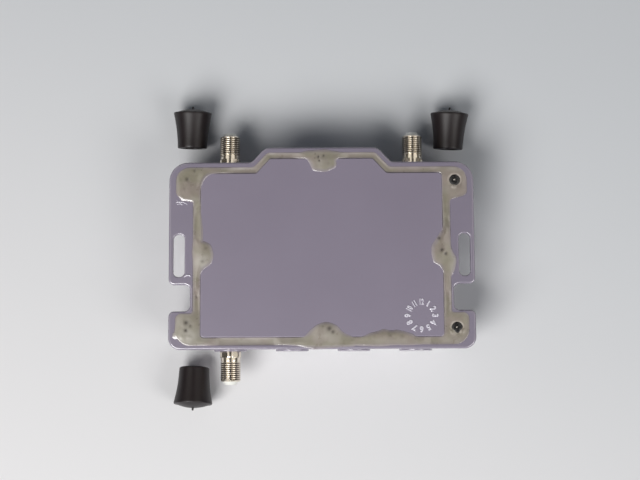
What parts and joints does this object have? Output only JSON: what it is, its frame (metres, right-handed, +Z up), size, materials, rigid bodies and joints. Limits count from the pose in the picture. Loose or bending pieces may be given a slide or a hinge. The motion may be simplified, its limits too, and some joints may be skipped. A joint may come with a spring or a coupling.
{
  "type": "cable tv amplifier",
  "caption": "Sealed die-cast coaxial line amplifier lying face down: stepped case with slotted ears, epoxy-sealed back plate, threaded ports and loose rubber weather caps.",
  "frame": {"origin": "middle of the front face, which lies on the table", "axes": "+Z up, out of the back plate; +X along the case to the right as seen from the back; +Y towards the stepped edge with two ports"},
  "size_m": [0.1405, 0.1441, 0.0289],
  "materials": {
    "cast_case": "satin",
    "cover_paint": "satin",
    "epoxy": "gloss",
    "black_screw": "satin",
    "nickel": "polished",
    "white_insulator": "matte",
    "tinned_contact": "satin",
    "cap_rubber": "satin",
    "board_green": "satin",
    "module_black": "matte",
    "pad_grey": "matte",
    "tin_plate": "satin",
    "ferrite": "matte",
    "sleeve_blue": "gloss",
    "arrester_ceramic": "satin",
    "chip_ceramic": "matte",
    "steel": "satin"
  },
  "bodies": {
    "root": {"housing": "cast_case", "back_cover": "cover_paint", "epoxy_seal": "epoxy", "corner_screws": "black_screw", "buried_cover_screws": "black_screw", "board_screws": "steel", "circuit_board": "board_green", "amplifier_module": "module_black", "heat_pad": "pad_grey", "screening_can": "tin_plate", "voltage_regulator": "module_black", "surge_arrester": "arrester_ceramic", "power_choke": "ferrite", "chip_capacitors": "chip_ceramic", "input_port_barrel": "nickel", "input_port_insulator": "white_insulator", "input_port_contact": "tinned_contact", "input_port_cap": "cap_rubber", "output_port_barrel": "nickel", "output_port_insulator": "white_insulator", "output_port_contact": "tinned_contact", "output_port_cap": "cap_rubber", "power_port_barrel": "nickel", "power_port_insulator": "white_insulator", "power_port_contact": "tinned_contact", "power_port_cap": "cap_rubber", "filter_coil_1": "ferrite", "filter_coil_2": "ferrite", "filter_coil_3": "ferrite", "filter_coil_4": "ferrite", "filter_capacitor_1": "sleeve_blue", "filter_capacitor_2": "sleeve_blue", "ferrite_transformer_1": "ferrite", "ferrite_transformer_2": "ferrite", "ferrite_transformer_3": "ferrite"}
  },
  "joints": []
}
